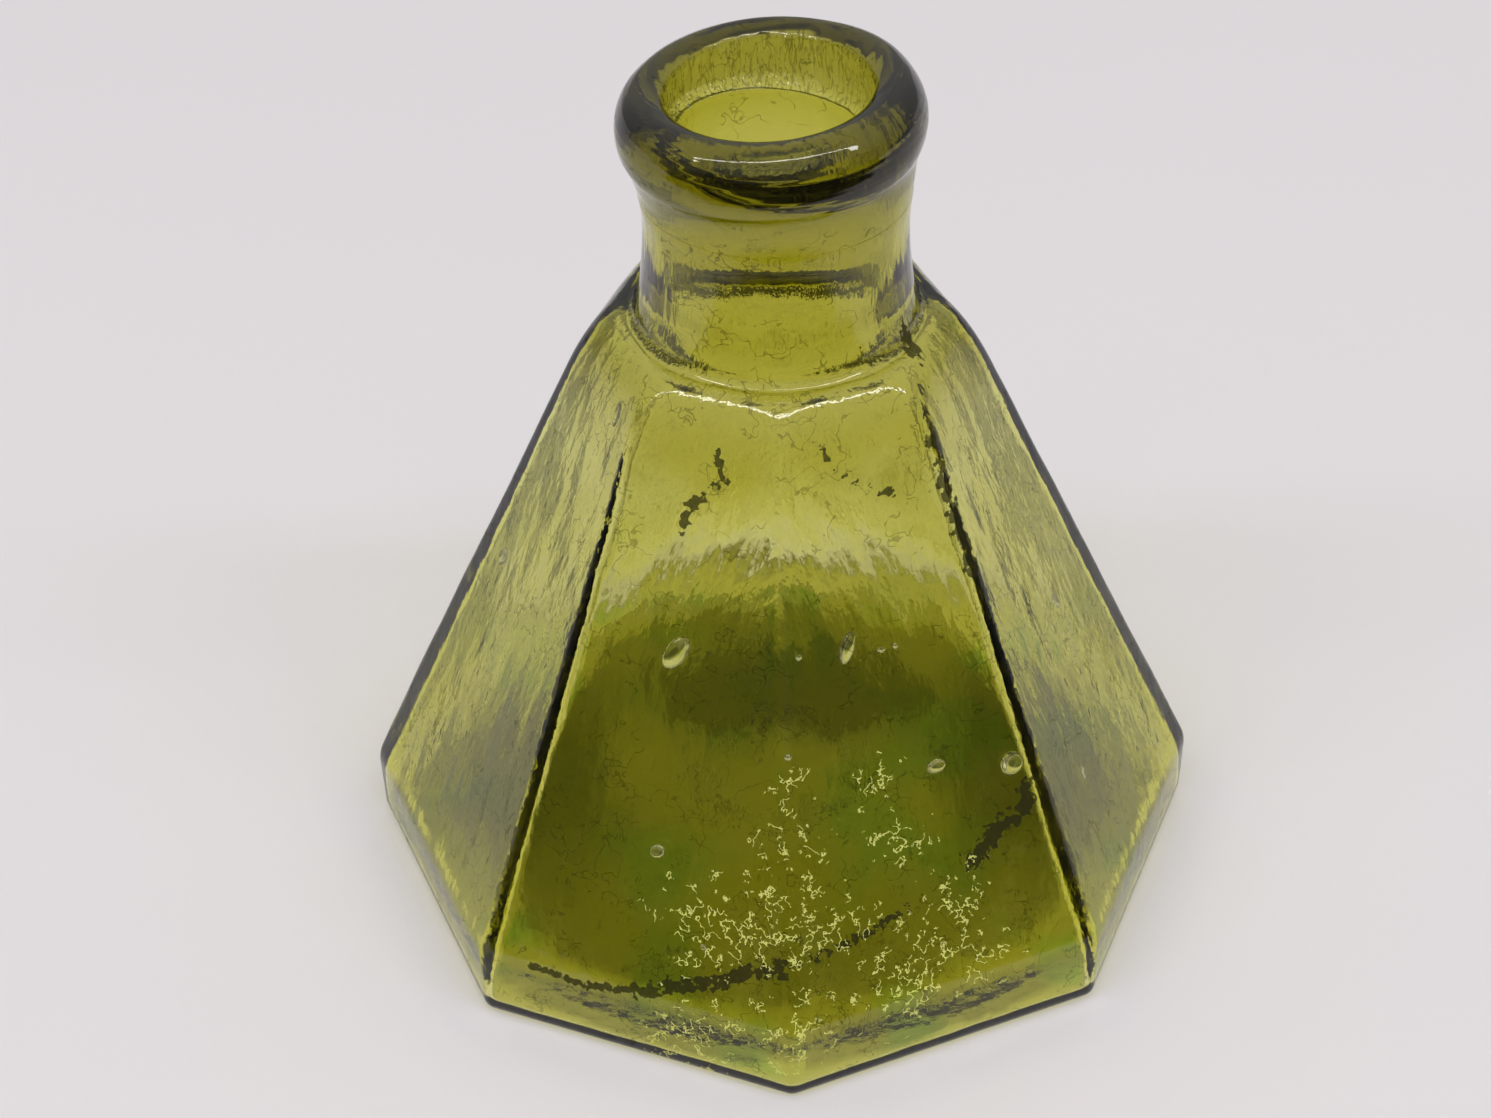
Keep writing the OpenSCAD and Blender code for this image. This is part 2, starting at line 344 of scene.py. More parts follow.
def uneven(pts):
    """Pushes the surface in and out: faint broad waves outside, stronger and streakier ones inside."""
    x, y, z = np.moveaxis(pts, -1, 0)
    kind = KINDS[:, None]
    fading = smoothstep(z, *RIPPLES_START) * (1 - smoothstep(z, *RIPPLES_END))
    inner = waves(pts, HOLLOW_WAVES) * (1 - SIDE_CALM * smoothstep(np.abs(x), *CALM_FROM))
    inner *= 1 - smoothstep(z, *HOLLOW_END)
    inner += waves(pts, CEILING_WAVES) * smoothstep(y, *BEHIND) * smoothstep(z, *CEILING_FROM)
    inner += waves(pts, LOW_WAVES) * smoothstep(y, *BEHIND) * (1 - smoothstep(z, *LOW_END))
    push = np.where(np.isin(kind, ("panel", "shoulder", "neck")), waves(pts, RIPPLES) * fading, 0)
    push += np.where(kind == "skirt", waves(pts, SKIRT_WAVES) * smoothstep(z, *SKIRT_START), 0)
    push += np.where(kind == "inside", inner, 0)
    push += np.where(kind == "floor", waves(pts, FLOOR_WAVES), 0)
    return pts + normals_of(pts) * push[..., None]


# ------------------------------------------------------------------ meshes
def mesh_object(name, verts, faces, material, fused=(), smooth=True):
    """A mesh object from points in mm. fused is 1 for faces where two gathers of glass have run together,
    and may stop short of the last faces, which are then 0."""
    mesh = bpy.data.meshes.new(name)
    mesh.from_pydata((np.asarray(verts) * 0.001).tolist(), [], faces)
    mesh.materials.append(material)
    mesh.polygons.foreach_set("use_smooth", [smooth] * len(mesh.polygons))
    if len(fused):
        flags = np.zeros(len(faces))
        flags[:len(fused)] = fused
        mesh.attributes.new("fused", "FLOAT", "FACE").data.foreach_set("value", flags.tolist())
    mesh.update()
    ob = bpy.data.objects.new(name, mesh)
    bpy.context.scene.collection.objects.link(ob)
    return ob


def mark(ob, name, values):
    """Gives each point of a mesh a value of 0 or more, which its material reads by name."""
    layer = ob.data.attributes.new(name, "FLOAT", "POINT")
    layer.data.foreach_set("value", np.maximum(values, 0).ravel().tolist())


def ring_faces(rows, cols, closed=False):
    """Quads between neighbouring rings, and between the last and the first if the section is closed."""
    faces = []
    for i in range(rows if closed else rows - 1):
        here, there = i * cols, (i + 1) % rows * cols
        for j in range(cols):
            k = (j + 1) % cols
            faces.append((here + j, here + k, there + k, there + j))
    return faces


def capped_faces(rows, cols):
    """Quads between rings, and fans that close the first and last. Their two poles come after the rings."""
    faces = ring_faces(rows, cols)
    pole, last = rows * cols, (rows - 1) * cols
    for j in range(cols):
        k = (j + 1) % cols
        faces += [(pole, k, j), (pole + 1, last + j, last + k)]
    return faces


def face_outwards(ob):
    """Turns all faces over if the mesh encloses its volume inside out. Bubbles stay the other way round."""
    bm = bmesh.new()
    bm.from_mesh(ob.data)
    if bm.calc_volume(signed=True) < 0:
        bmesh.ops.reverse_faces(bm, faces=bm.faces)
        bm.to_mesh(ob.data)
    bm.free()


# ------------------------------------------------------------------ node trees
class Tree:
    """A node tree, with short ways to add to it. An input is given a value, or an output to link to it."""
    COLOUR_A, COLOUR_B, COLOUR_OUT = 6, 7, 2       # sockets of a Mix node

    def __init__(self, owner):
        owner.use_nodes = True
        self.nodes, self.links = owner.node_tree.nodes, owner.node_tree.links
        self.nodes.clear()

    def add(self, kind, inputs, **settings):
        """Adds a node and gives back its outputs."""
        node = self.nodes.new("ShaderNode" + kind)
        for name, value in settings.items():
            setattr(node, name, value)
        for name, value in inputs.items():
            if isinstance(value, bpy.types.NodeSocket):
                self.links.new(value, node.inputs[name])
            else:
                node.inputs[name].default_value = value
        return node.outputs

    def marked(self, name):
        """What mark() stored under this name, or 0 on a mesh without it."""
        return self.add("Attribute", {}, attribute_name=name)["Fac"]

    def maths(self, operation, a, b=0.0):
        return self.add("Math", {0: a, 1: b}, operation=operation)[0]

    def noise(self, place, scale, detail):
        return self.add("TexNoise", {"Vector": place, "Scale": scale, "Detail": detail})["Fac"]

    def stretched_noise(self, place, scales, detail):
        """Noise with its own scale along x, y and z."""
        return self.noise(self.add("Mapping", {"Vector": place, "Scale": scales})[0], 1.0, detail)

    def mix_colours(self, share, a, b, blend="MIX"):
        sockets = {0: share, self.COLOUR_A: a, self.COLOUR_B: b}
        return self.add("Mix", sockets, data_type="RGBA", blend_type=blend)[self.COLOUR_OUT]

    def mix_shaders(self, share, a, b):
        return self.add("MixShader", {0: share, 1: a, 2: b})[0]

    def swing(self, noise, strength):
        """Noise made to swing about 0."""
        return self.maths("MULTIPLY", self.maths("SUBTRACT", noise, 0.5), strength)

    def lines(self, noise, width):
        """1 along the thin winding lines where noise crosses its middle, and 0 elsewhere."""
        return self.maths("LESS_THAN", self.maths("ABSOLUTE", self.maths("SUBTRACT", noise, 0.5)), width)


# ------------------------------------------------------------------ glass
ABSORB = (92.0, 94.0, 560.0)           # how strongly the glass takes red, green and blue, per metre
LIP_ABSORB = (262.0, 275.0, 960.0)     # the lip is a later gather, and darker
GLASS_IOR = 1.52
CLEAN = (1, 1, 1, 1)
FLOOR_SHADE_TINT = (0.44, 0.45, 0.30, 1)          # painted shade: what the full film standing for the shade under the bottle lets through
AMBER = (0.765, 0.745, 0.32, 1)        # and a thin yellow one, inside the shoulder and neck
MOSS = (0.66, 0.93, 0.80, 1)           # and the greener patches on the floor
# dark ragged lines, and painted shade on the right-hand ridge and inside the back of the shoulder
DARK_LINE_AND_SHADE_COLOUR = (0.03, 0.028, 0.01, 1)
CHIP_COLOUR = (0.85, 0.86, 0.25, 1)
PITS, PIT_DEPTH = ((900, 900, 160), 3), 0.0003      # scales (per metre) and detail of the noise, depth in m
CREASES, CREASE_DEPTH, CREASE_STRENGTH = ((2300, 2300, 520), 2), 0.0005, 0.9     # upright, in the mouth
# marks: scale and detail of their noise, how ragged it makes them or how wide their lines are, and the
# level over which they show
DARK_LINE_NOISE, DARK_LINE_RAGGED, DARK_LINE_LEVEL = (1800, 4), 1.9, 0.62
WEAR_NOISE, WEAR_RAGGED, WEAR_LEVEL, WEAR_EDGE = (900, 3), 3.6, 0.68, 0.02
CHIP_NOISE, CHIP_WIDTH = (1500, 4), 0.022
HAIR_NOISE, HAIR_WIDTH, HAIR_PATCHES, HAIR_LEVEL = (520, 2), 0.009, (330, 1), 0.555
WRINKLE_WIDTH, WRINKLE_LEVEL = 0.028, 0.35
DARK_LINES_SHOW, CHIPS_SHOW, HAIRS_SHOW, WRINKLES_SHOW = 0.85, 0.8, 0.34, 0.35


def glass(name, absorb, pitting=0.25):
    """Olive glass. Lamps shine straight through it, with the light it takes on the way. Where two gathers
    have fused there is no surface to see, only the glass going on."""
    mat = bpy.data.materials.new(name)
    tree = Tree(mat)
    maths = tree.maths
    place = tree.add("TexCoord", {})["Object"]
    # fine pits all over, and creases in the folds of the mouth
    crinkle = tree.stretched_noise(place, *CREASES)
    normal = tree.add("Bump", {"Strength": pitting, "Distance": PIT_DEPTH,
                               "Height": tree.stretched_noise(place, *PITS)})[0]
    normal = tree.add("Bump", {"Strength": maths("MULTIPLY", tree.marked("fold"), CREASE_STRENGTH),
                               "Distance": CREASE_DEPTH, "Height": crinkle, "Normal": normal})[0]
    # painted shade on the floor, and films of tint inside
    colour = tree.mix_colours(tree.marked("painted_floor_shade"), CLEAN, FLOOR_SHADE_TINT)
    colour = tree.mix_colours(tree.marked("amber"), colour, AMBER, "MULTIPLY")
    colour = tree.mix_colours(tree.marked("moss"), colour, MOSS, "MULTIPLY")
    clear = {"Color": colour, "IOR": GLASS_IOR, "Roughness": 0.0, "Normal": normal}
    surface = tree.add("BsdfGlass", clear)[0]
    # dark ragged lines, some of them painted shade, worn places with curly bright chips, hairlines, and
    # wrinkles in the mouth
    dark_line_shade_mask = maths("ADD", tree.marked("dark_lines_and_painted_shade"), tree.swing(tree.noise(place, *DARK_LINE_NOISE), DARK_LINE_RAGGED))
    dark_line_shade_mask = maths("GREATER_THAN", dark_line_shade_mask, DARK_LINE_LEVEL)
    worn = maths("ADD", tree.marked("wear"), tree.swing(tree.noise(place, *WEAR_NOISE), WEAR_RAGGED))
    chips = maths("MULTIPLY", tree.lines(tree.noise(place, *CHIP_NOISE), CHIP_WIDTH),
                  maths("GREATER_THAN", tree.marked("wear"), WEAR_EDGE))
    chips = maths("MULTIPLY", chips, maths("GREATER_THAN", worn, WEAR_LEVEL))
    hairs = maths("MULTIPLY", tree.lines(tree.noise(place, *HAIR_NOISE), HAIR_WIDTH),
                  maths("GREATER_THAN", tree.noise(place, *HAIR_PATCHES), HAIR_LEVEL))
    wrinkles = maths("MULTIPLY", tree.lines(crinkle, WRINKLE_WIDTH),
                     maths("GREATER_THAN", tree.marked("fold"), WRINKLE_LEVEL))
    dark = tree.add("BsdfDiffuse", {"Color": DARK_LINE_AND_SHADE_COLOUR})[0]
    bright = tree.add("BsdfDiffuse", {"Color": CHIP_COLOUR})[0]
    for where, share, paint in ((dark_line_shade_mask, DARK_LINES_SHOW, dark), (chips, CHIPS_SHOW, bright),
                                (hairs, HAIRS_SHOW, dark), (wrinkles, WRINKLES_SHOW, dark)):
        surface = tree.mix_shaders(maths("MULTIPLY", where, share), surface, paint)
    passing = tree.add("BsdfTransparent", {"Color": colour})[0]
    surface = tree.mix_shaders(tree.add("LightPath", {})["Is Shadow Ray"], surface, passing)
    surface = tree.mix_shaders(tree.marked("fused"), surface, tree.add("BsdfTransparent", {})[0])
    density = max(absorb) * 1.25                # of each colour the node takes (1 - tint) * density
    tint = tuple(1 - a / density for a in absorb) + (1,)
    volume = tree.add("VolumeAbsorption", {"Color": tint, "Density": density})[0]
    tree.add("OutputMaterial", {"Surface": surface, "Volume": volume})
    return mat


body_glass = glass("olive_glass", ABSORB)
lip_glass = glass("olive_glass_lip", LIP_ABSORB, pitting=0.05)
scar_glass = glass("olive_glass_scar", ABSORB)


# ------------------------------------------------------------------ bubbles in the body's wall
# panel angle, place across it, height, depth, half sizes (across, through, up), lean in degrees
BUBBLES = [
    (247.5, -0.3, 28.6, 0.55, (0.75, 0.32, 1.35), -30), (292.5, -2.8, 29.4, 0.55, (0.5, 0.3, 1.15), -26),
    (292.5, -0.5, 28.7, 0.5, (0.28, 0.22, 0.2), 0), (292.5, 0.5, 28.7, 0.5, (0.2, 0.16, 0.2), 20),
    (292.5, -6.2, 29.7, 0.5, (0.22, 0.18, 0.2), 0), (292.5, 7.4, 19.1, 0.6, (0.85, 0.42, 0.85), 0),
    (202.5, 2.5, 41.2, 0.55, (0.35, 0.3, 0.85), 10), (202.5, -4.7, 26.3, 0.55, (0.5, 0.33, 0.75), -20),
    (247.5, 0.2, 15.7, 0.55, (0.55, 0.12, 0.45), 40), (247.5, 8.2, 23.8, 0.5, (0.2, 0.16, 0.2), 0),
    (292.5, 2.0, 20.4, 0.6, (0.7, 0.3, 0.5), 0), (337.5, 1.5, 24.0, 0.55, (0.3, 0.25, 0.6), 8),
    (337.5, -4.0, 14.0, 0.55, (0.25, 0.2, 0.5), -8), (157.5, 1.0, 18.0, 0.6, (0.4, 0.32, 0.7), 5),
    (22.5, -2.0, 27.0, 0.6, (0.3, 0.25, 0.7), 9), (247.5, 4.3, 10.3, 0.5, (0.2, 0.16, 0.2), 0),
]
BUBBLE_RINGS = 16


def bubble(angle, along, z, depth, half_sizes, lean):
    """A small hollow near a panel's outside: its points, and faces that are turned inwards."""
    a, lean = math.radians(angle), math.radians(lean)
    out_dir, upright = np.array([math.cos(a), math.sin(a), 0]), np.array([0, 0, 1])
    tilt = math.atan(TAPER * math.cos(SECTOR / 2))
    normal = out_dir * math.cos(tilt) + upright * math.sin(tilt)
    up = upright * math.cos(tilt) - out_dir * math.sin(tilt)
    across = np.cross(up, normal)
    r = (BASE_R - TAPER * (z - SKIRT_H)) * math.cos(SECTOR / 2)
    centre = out_dir * r + upright * z + across * along - normal * depth
    axes = np.array([across * math.cos(lean) + up * math.sin(lean), normal,
                     up * math.cos(lean) - across * math.sin(lean)])
    n = BUBBLE_RINGS
    down, turn = np.meshgrid(math.pi * np.arange(1, n) / n, math.pi * np.arange(2 * n) / n, indexing="ij")
    unit = np.stack([np.sin(down) * np.cos(turn), np.sin(down) * np.sin(turn), np.cos(down)], -1)
    unit = np.vstack([unit.reshape(-1, 3), upright, -upright])
    return centre + (unit * half_sizes) @ axes, capped_faces(n - 1, 2 * n)


# ------------------------------------------------------------------ painted shade, dark ragged lines and wear on the body
DARK_LINES = [      # dark ragged lines: width, and a line of points on the outside
    (0.7, [(-17.8, -22.5, 6.0), (-14.0, -24.2, 5.7), (-10.2, -25.5, 6.4)]),
    (1.4, [(-10.2, -25.5, 6.4), (-5.1, -26.7, 8.4), (-0.5, -27.6, 10.4)]),
    (0.8, [(-0.5, -27.6, 10.4), (4.3, -25.8, 11.1), (8.0, -23.8, 12.0)]),
    (1.5, [(12.3, -21.2, 13.6), (14.0, -20.0, 15.2), (16.0, -18.3, 16.0), (16.2, -18.0, 17.5)]),
    (0.75, [(-4.0, -12.0, 41.5), (-3.6, -13.0, 39.7), (-5.7, -12.8, 38.3), (-6.5, -13.3, 36.3)]),
    (0.5, [(2.5, -12.4, 41.9), (3.2, -12.8, 40.5), (5.8, -12.5, 38.7), (7.7, -12.1, 38.0)]),
    (1.3, [(8.3, -4.4, 45.6), (8.7, -5.6, 44.2), (9.3, -6.9, 42.9)]),          # beside the neck's root
    (1.1, [(9.4, -9.6, 40.9), (11.2, -11.6, 36.0), (12.6, -12.8, 32.0)]),      # down the right-hand ridge: painted shade, thickening the dark line that the rounded corner shows by refraction
]
WORN = [        # middle of a worn place, and how far it reaches
    ((0.2, -22.3, 22.5), 1.6), ((0.0, -24.3, 18.1), 2.2), ((-0.3, -26.6, 13.0), 3.0),
    ((-6.0, -24.9, 11.5), 3.2), ((-3.0, -26.1, 11.6), 3.0), ((9.5, -24.4, 9.5), 2.6),
    ((10.9, -23.0, 11.4), 2.6), ((7.5, -22.0, 16.6), 2.0), ((5.8, -20.7, 20.8), 1.8),
    ((-6.9, -27.2, 3.7), 3.4), ((0.5, -29.8, 5.8), 2.8), ((7.4, -26.3, 7.2), 3.2),
    ((12.9, -24.0, 7.1), 2.6), ((3.5, -25.5, 12.5), 2.4),
]
WORN_SCALE = 1.7        # all the reaches are drawn out by this
PAINTED_BAND = [(-7.4, 11.2, 38.6), (-3.6, 12.9, 39.6), (0, 14.0, 39.3), (3.6, 12.9, 39.6), (7.4, 11.2, 38.6)]
PAINTED_BAND_WIDTH = 3.6        # painted shade: a dark band inside the back of the shoulder, for the darkness its bend throws by refraction

AMBER_WAVES, AMBER_START = [(2.5, (5, 5, 4), 43)], (36, 42)   # raggedness and heights of its lower edge
MOSS_WAVES = [(1, (7, 7, 9), 47), (0.25, (2, 2, 2), 48)]
MOSS_START, MOSS_STRENGTH = (0.05, 0.55), 0.6
MOSS_PLACE, MOSS_SIZE, MOSS_MORE = (11, 4), (6, 5), 0.8       # there is more of it here

SHADE_R = 23.0                                   # painted shade: a film on the floor glass, standing for the shade under the bottle, reaches out to here
SHADE_SIDES, SIDE_WIDTH = 4.5, 11                # and this much further to the left and right
SHADE_FRONT, FRONT_FROM = 3, (5, 15)             # and at the front
SHADE_EDGE = [(0.7, (1.5, 1.5, 3), 44), (0.9, (4, 4, 4), 45)]       # how ragged its edge is
SHADE_ENDS = (-0.25, 0.25)                       # and how sharp
SHADE_THIN = 0.25                                # its strength everywhere
SHADE_MIDDLE, MIDDLE_ENDS = 0.38, (-4.4, -3.4)   # more away from its edge
RIM_STRENGTH, RIM_IN, RIM_WIDTH = 0.25, 0.4, 0.5        # more on a line just inside the edge
SIDE_STRENGTH, SIDE_FROM = 0.42, (10, 16)       # more far to the left and right
CLOUDS = [(0.10, (9, 9, 9), 41)]                # and a little more or less from place to place
LIP_SHADOW, LIP_SHADOW_SIZE, LIP_SHADOW_STRENGTH = (0.4, 7.6), (10.5, 6.3), 0.55      # painted shadow of the lip ring, on the floor behind its middle
LIP_SHADOW_WAVES, LIP_SHADOW_ENDS = [(0.12, (3, 3, 3), 42)], (0.85, 1.1)


def to_line(points, line):
    """Distance from each point to a line of points."""
    best = np.full(len(points), 1e9)
    for a, b in zip(np.array(line[:-1], float), np.array(line[1:], float)):
        t = np.clip((points - a) @ (b - a) / ((b - a) @ (b - a)), 0, 1)
        best = np.minimum(best, np.linalg.norm(points - a - t[:, None] * (b - a), axis=1))
    return best


def painted_shade_on_floor(spots):
    """Strength of the painted shade on the floor: a film standing for the shade under the bottle, stronger
    at its ragged edge and to the sides, and a painted shadow of the lip ring.
    """
    x, y, _ = spots.T
    beside = np.exp(-(y / SIDE_WIDTH) ** 2)
    reach = SHADE_R + SHADE_SIDES * beside + SHADE_FRONT * smoothstep(-y, *FRONT_FROM)
    past_edge = np.hypot(x, y) - reach + waves(spots, SHADE_EDGE)
    strength = (SHADE_THIN + SHADE_MIDDLE * (1 - smoothstep(past_edge, *MIDDLE_ENDS))
                + RIM_STRENGTH * np.exp(-((past_edge + RIM_IN) / RIM_WIDTH) ** 2)
                + waves(spots, CLOUDS) + SIDE_STRENGTH * beside * smoothstep(np.abs(x), *SIDE_FROM))
    from_lip_shadow = np.hypot((x - LIP_SHADOW[0]) / LIP_SHADOW_SIZE[0], (y - LIP_SHADOW[1]) / LIP_SHADOW_SIZE[1])
    from_lip_shadow += waves(spots, LIP_SHADOW_WAVES)
    return ((1 - smoothstep(past_edge, *SHADE_ENDS)) * strength
            + LIP_SHADOW_STRENGTH * (1 - smoothstep(from_lip_shadow, *LIP_SHADOW_ENDS)))


def moss_on_floor(spots):
    """Strength of the greener patches."""
    off = (spots[:, :2] - MOSS_PLACE) / MOSS_SIZE
    patches = waves(spots, MOSS_WAVES) + MOSS_MORE * np.exp(-np.sum(off ** 2, axis=1))
    return MOSS_STRENGTH * smoothstep(patches, *MOSS_START)


def mark_body(ob, spots, kinds):
    """Marks the body's points. kinds are those of their rows."""
    outer = np.isin(kinds, ("skirt", "panel", "shoulder", "neck"))
    inner = np.isin(kinds, ("inside", "bore"))
    on_floor = kinds == "floor"
    dark_lines_and_painted_shade = np.max([1 - to_line(spots, line) / width for width, line in DARK_LINES], axis=0)
    wear = np.max([1 - np.linalg.norm(spots - middle, axis=1) / (WORN_SCALE * reach)
                   for middle, reach in WORN], axis=0)
    painted_band = np.maximum(0, 1 - to_line(spots, PAINTED_BAND) / PAINTED_BAND_WIDTH)
    # painted shade among the dark lines: the band inside the shoulder and the line down the right-hand ridge
    mark(ob, "dark_lines_and_painted_shade", np.maximum(dark_lines_and_painted_shade, 0) * outer + painted_band * inner)
    mark(ob, "wear", wear * outer)
    # painted shade on the floor, for the shade under the bottle, and a painted shadow of the lip ring
    mark(ob, "painted_floor_shade", np.clip(painted_shade_on_floor(spots), 0, 1) * on_floor)
    mark(ob, "amber", smoothstep(spots[:, 2] + waves(spots, AMBER_WAVES), *AMBER_START) * inner)
    mark(ob, "moss", moss_on_floor(spots) * on_floor)


# ------------------------------------------------------------------ body
def body_shell():
    """The body, closed by two poles, with its bubbles. Only the covered part of the neck is fused."""
    verts = uneven(body_points()).reshape(-1, 3).tolist()
    verts += [[0, 0, PUSH_UP_H], [0, 0, FLOOR_T + INNER_PUSH_H]]
    faces = capped_faces(len(ROWS), COLUMNS)
    kinds = [*np.repeat(KINDS, COLUMNS), "under", "floor"]
    for size_and_place in BUBBLES:
        points, quads = bubble(*size_and_place)
        faces += [tuple(i + len(verts) for i in quad) for quad in quads]
        verts += points.tolist()
        kinds += ["bubble"] * len(points)
    seam = (KINDS[:-1] == "seam") & (KINDS[1:] == "seam")
    ob = mesh_object("glass_body", verts, faces, body_glass, np.repeat(seam, COLUMNS))
    mark_body(ob, np.array(verts), np.array(kinds))
    return ob


body = body_shell()
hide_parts("body_shell")
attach(body, "root")


# ------------------------------------------------------------------ lip
LIP_COLUMNS = 288
LUMPS, FRONT_LUMPS, MORE_LUMPS, LUMPS_GROW = ((5, 5, 2.2), 21), 0.03, 0.06, (-6, 0)    # higher behind
TOOL_LINES, TOOL_R = [(0.016, (14, 14, 0.36), 25)], 8              # faint lines round it
FOLDS, FOLD_R = [(0.11, (0.55, 0.55, 2.4), 23), (0.05, (0.3, 0.3, 0.9), 24)], 6.5
FOLDS_FRONT, FOLDS_GROW = 0.2, (-5, 1)                             # share left at the front
EDGE_FOLDS, LEDGE_FOLDS = [0, 0, 0, 0, 0.4, 0.8], [0.7, 0.3, 0]    # where they begin and end


def lip_rows():
    """The lip's closed section, from the hem up outside, over the crest, down the funnel to the ledge and
    back down along the neck. Each row is (radius, height, share of the lean, share of the folds). The second
    thing given back is the row from which the glass is fused with the neck's."""
    crest_z, ledge_z = LIP_Z + LIP_HALF_H, NECK_TOP_Z + SEAM_GAP
    flare = [(HEM_R + out, HEM_Z + up) for out, up in HEM_FLARE]
    outer = flare + list(arc(LIP_CREST_R, LIP_Z, LIP_R - LIP_CREST_R, LIP_HALF_H, -37, 90, 80))
    top = [(r, crest_z - drop) for r, drop in CREST_TO_MOUTH]
    radii, heights = zip((BORE_R + LEDGE_W, ledge_z), FUNNEL_KNEE, top[-1])
    funnel = [(np.interp(z, heights, radii), z) for z in np.linspace(top[-1][1], ledge_z, 30)[1:]]
    shelf = [(r, ledge_z) for r in np.linspace(BORE_R + LEDGE_W, HEM_R + SEAM_GAP, 6)[1:]]
    socket = [(HEM_R + SEAM_GAP, z) for z in np.linspace(NECK_TOP_Z, SOCKET_END_Z, 7)[1:]]
    folds = [1] * (len(funnel) - len(LEDGE_FOLDS)) + LEDGE_FOLDS
    rows = [(r, z, smoothstep(z, HEM_Z, LEAN_FULL_Z), 0) for r, z in outer]
    rows += [(r, z, 1, fold) for (r, z), fold in zip(top, EDGE_FOLDS)]
    rows += [(r, z, 1 - t, fold) for (r, z), t, fold in zip(funnel, np.linspace(0, 1, len(funnel)), folds)]
    fused_from = len(rows) - 1
    rows += [(r, z, 0, 0) for r, z in shelf + socket] + [(HEM_R + HEM_SKIN, HEM_Z, HEM_LEAN, 0)]
    return rows, fused_from


def on_drum(pts, radius, height):
    """Points in the same directions from the axis, all at one radius, at the heights given."""
    angle = np.arctan2(pts[..., 1], pts[..., 0])
    return np.stack([np.cos(angle) * radius, np.sin(angle) * radius, height + 0 * angle], -1)


def lip_ring():
    """The ring of glass laid on at the mouth. Its outside leans, while its socket follows the neck."""
    rows, fused_from = lip_rows()
    r, z, lean, fold = np.array(rows, float).T[..., None]
    angle = np.linspace(0, 2 * math.pi, LIP_COLUMNS, endpoint=False)
    x, y = r * np.cos(angle), r * np.sin(angle)
    leaning_x = x * math.cos(LIP_LEAN) - (z - LIP_Z) * math.sin(LIP_LEAN) + LIP_SHIFT
    leaning_z = LIP_Z + x * math.sin(LIP_LEAN) + (z - LIP_Z) * math.cos(LIP_LEAN)
    slant = ledge_slant(x, z) * (1 - lean)
    pts = np.stack([leaning_x * lean + x * (1 - lean), y, leaning_z * lean + (z + slant) * (1 - lean)], -1)
    # lumps and tool lines on the loose outside, and upright folds in the mouth
    y = pts[..., 1]
    lumps = (FRONT_LUMPS + MORE_LUMPS * smoothstep(y, *LUMPS_GROW)) * noise(pts, *LUMPS)
    along = np.cumsum([0, *np.hypot(np.diff(r[:, 0]), np.diff(z[:, 0]))])[:, None]
    lines = waves(on_drum(pts, TOOL_R, along), TOOL_LINES)
    fold = fold * between(FOLDS_FRONT, 1, smoothstep(y, *FOLDS_GROW))
    push_in = (lumps + lines) * lean * (1 - fold) + waves(on_drum(pts, FOLD_R, pts[..., 2]), FOLDS) * fold
    pts -= normals_of(pts) * push_in[..., None]
    fused = np.repeat(np.arange(len(rows)) >= fused_from, LIP_COLUMNS)
    faces = ring_faces(len(rows), LIP_COLUMNS, closed=True)
    ob = mesh_object("glass_lip", pts.reshape(-1, 3), faces, lip_glass, fused)
    mark(ob, "fold", fold)
    return ob


lip = lip_ring()
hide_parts("lip_ring")
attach(lip, "root")


# ------------------------------------------------------------------ pontil scar
SCAR_COLUMNS, SCAR_ROWS = 180, 16
SCAR_TALL, TALL_WAVES = 0.13, [(0.05, (3, 3, 3), 31), (0.02, (1, 1, 1), 32)]
SCAR_WIDE, WIDE_WAVES = 0.72, [(0.22, (3.5, 3.5, 3), 33), (0.10, (1, 1, 1), 34)]


def pontil_mark():
    """A torn ring standing down from the dome of the push-up, uneven in width and height."""
    angle = np.linspace(0, 2 * math.pi, SCAR_COLUMNS, endpoint=False)
    ring = np.stack([np.cos(angle) * SCAR_R, np.sin(angle) * SCAR_R, 0 * angle], -1)
    a = 2 * math.pi * np.arange(SCAR_ROWS)[:, None] / SCAR_ROWS
    r = SCAR_R + (SCAR_WIDE + waves(ring, WIDE_WAVES)) * np.cos(a)
    hang = (SCAR_TALL + waves(ring, TALL_WAVES)) * np.minimum(np.sin(a), 0) ** 2
    z = dome_height(r, PUSH_UP_R, PUSH_UP_H) - SEAM_GAP - hang
    pts = np.stack([np.cos(angle) * r, np.sin(angle) * r, z], -1)
    faces = ring_faces(SCAR_ROWS, SCAR_COLUMNS, closed=True)
    return mesh_object("pontil_mark", pts.reshape(-1, 3), faces, scar_glass)


scar = pontil_mark()
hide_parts("pontil_scar")
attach(scar, "root")

for piece in (body, lip, scar):
    face_outwards(piece)

# ------------------------------------------------------------------ floor
PAPER_DARKER, PAPER_LIGHTER = (0.745, 0.715, 0.735, 1), (0.775, 0.735, 0.755, 1)
PAPER_NOISE = (9, 4)
TABLE = (0.03, 0.025, 0.02, 1)
SHEET_END = (-0.075, -0.048)        # the pale sheet gives way to the dark table between these, along y in m
FLOOR_HALF = 1600


